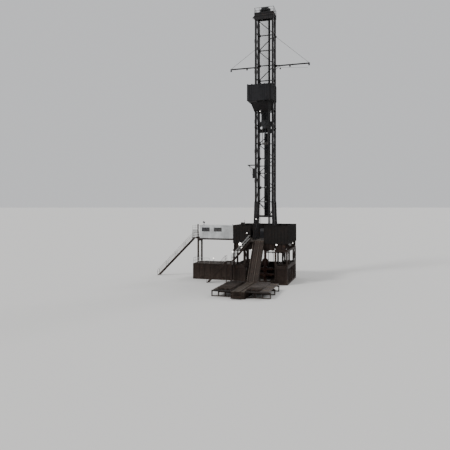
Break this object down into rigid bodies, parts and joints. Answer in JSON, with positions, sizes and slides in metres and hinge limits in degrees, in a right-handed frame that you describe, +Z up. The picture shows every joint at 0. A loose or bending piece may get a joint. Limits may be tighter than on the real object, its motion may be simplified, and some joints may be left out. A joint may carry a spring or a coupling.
{
  "type": "land oil drilling rig, 1:2 scale model",
  "caption": "Land oil drilling rig with a box-on-box base, walled drill floor, lattice mast, racking board, light booms, doghouse, ramp and catwalk.",
  "frame": {"origin": "centre of the well at ground level, on the underside of the wellhead flange", "axes": "+Z up, +X to the right as seen from the catwalk, +Y from the catwalk towards the drill floor"},
  "size_m": [15.85, 12.74, 26.62],
  "materials": {
    "base_steel": "dusty brown-black paint",
    "deck_steel": "worn chequered plate",
    "windwall": "matt black, dusty",
    "mast_steel": "matt charcoal paint",
    "board_panel": "matt grey paint",
    "machine_grey": "satin machine paint",
    "preventer_paint": "dull red-brown paint",
    "pipe_steel": "rusted pipe",
    "stand_steel": "oily dark drill pipe",
    "lamp_housing": "grey lamp housing",
    "bright_steel": "bare, greased",
    "wire_rope": "greased wire rope",
    "doghouse_paint": "satin off-white paint",
    "window_glass": "dark tinted glass"
  },
  "bodies": {
    "root": {"base_box_left": "base_steel", "base_box_right": "base_steel", "base_spreaders": "base_steel", "upper_box_left": "base_steel", "upper_box_right": "base_steel", "floor_frame": "base_steel", "floor_cross_beams": "base_steel", "drill_floor_deck": "deck_steel", "rotary_table": "machine_grey", "bop_stack": "preventer_paint", "windwall_front_left": "windwall", "windwall_front_right": "windwall", "windwall_left": "windwall", "windwall_right": "windwall", "windwall_back": "windwall", "v_door_ramp": "base_steel", "catwalk": "base_steel", "pipe_rack_left": "base_steel", "pipe_rack_right": "base_steel", "rack_pipe": "pipe_steel", "mast_foot_left": "mast_steel", "mast_foot_right": "mast_steel", "torque_beam": "mast_steel", "mast_left_side": "mast_steel", "mast_right_side": "mast_steel", "mast_back_bracing": "mast_steel", "guide_beam": "mast_steel", "crown_frame": "mast_steel", "crown_platform": "mast_steel", "crown_sheaves": "machine_grey", "racking_board": "mast_steel", "board_windwall": "board_panel", "board_braces": "mast_steel", "stabbing_board": "mast_steel", "light_boom_left": "mast_steel", "light_boom_right": "mast_steel", "boom_stays": "wire_rope", "floodlights": "lamp_housing", "drilling_line": "wire_rope", "racked_pipe": "stand_steel", "drawworks": "machine_grey", "doghouse_floor": "deck_steel", "doghouse_walls": "doghouse_paint", "doghouse_roof": "doghouse_paint", "doghouse_windows": "window_glass", "doghouse_door": "doghouse_paint", "doghouse_posts": "base_steel", "doghouse_tank": "base_steel", "doghouse_tank_roof": "base_steel", "landing": "deck_steel", "main_stair_treads": "deck_steel", "main_stair_sides": "base_steel", "front_stair_treads": "deck_steel", "front_stair_sides": "base_steel"},
    "travelling_gear": {"travelling_block": "machine_grey", "top_drive": "machine_grey", "guide_carriage": "mast_steel", "elevator_links": "bright_steel"}
  },
  "joints": [
    {"name": "top_drive_travel", "type": "slide", "parent": "root", "child": "travelling_gear", "axis": [0, 0, 1], "range_m": [-8, 5.5], "deforming": ["drilling_line"]}
  ]
}
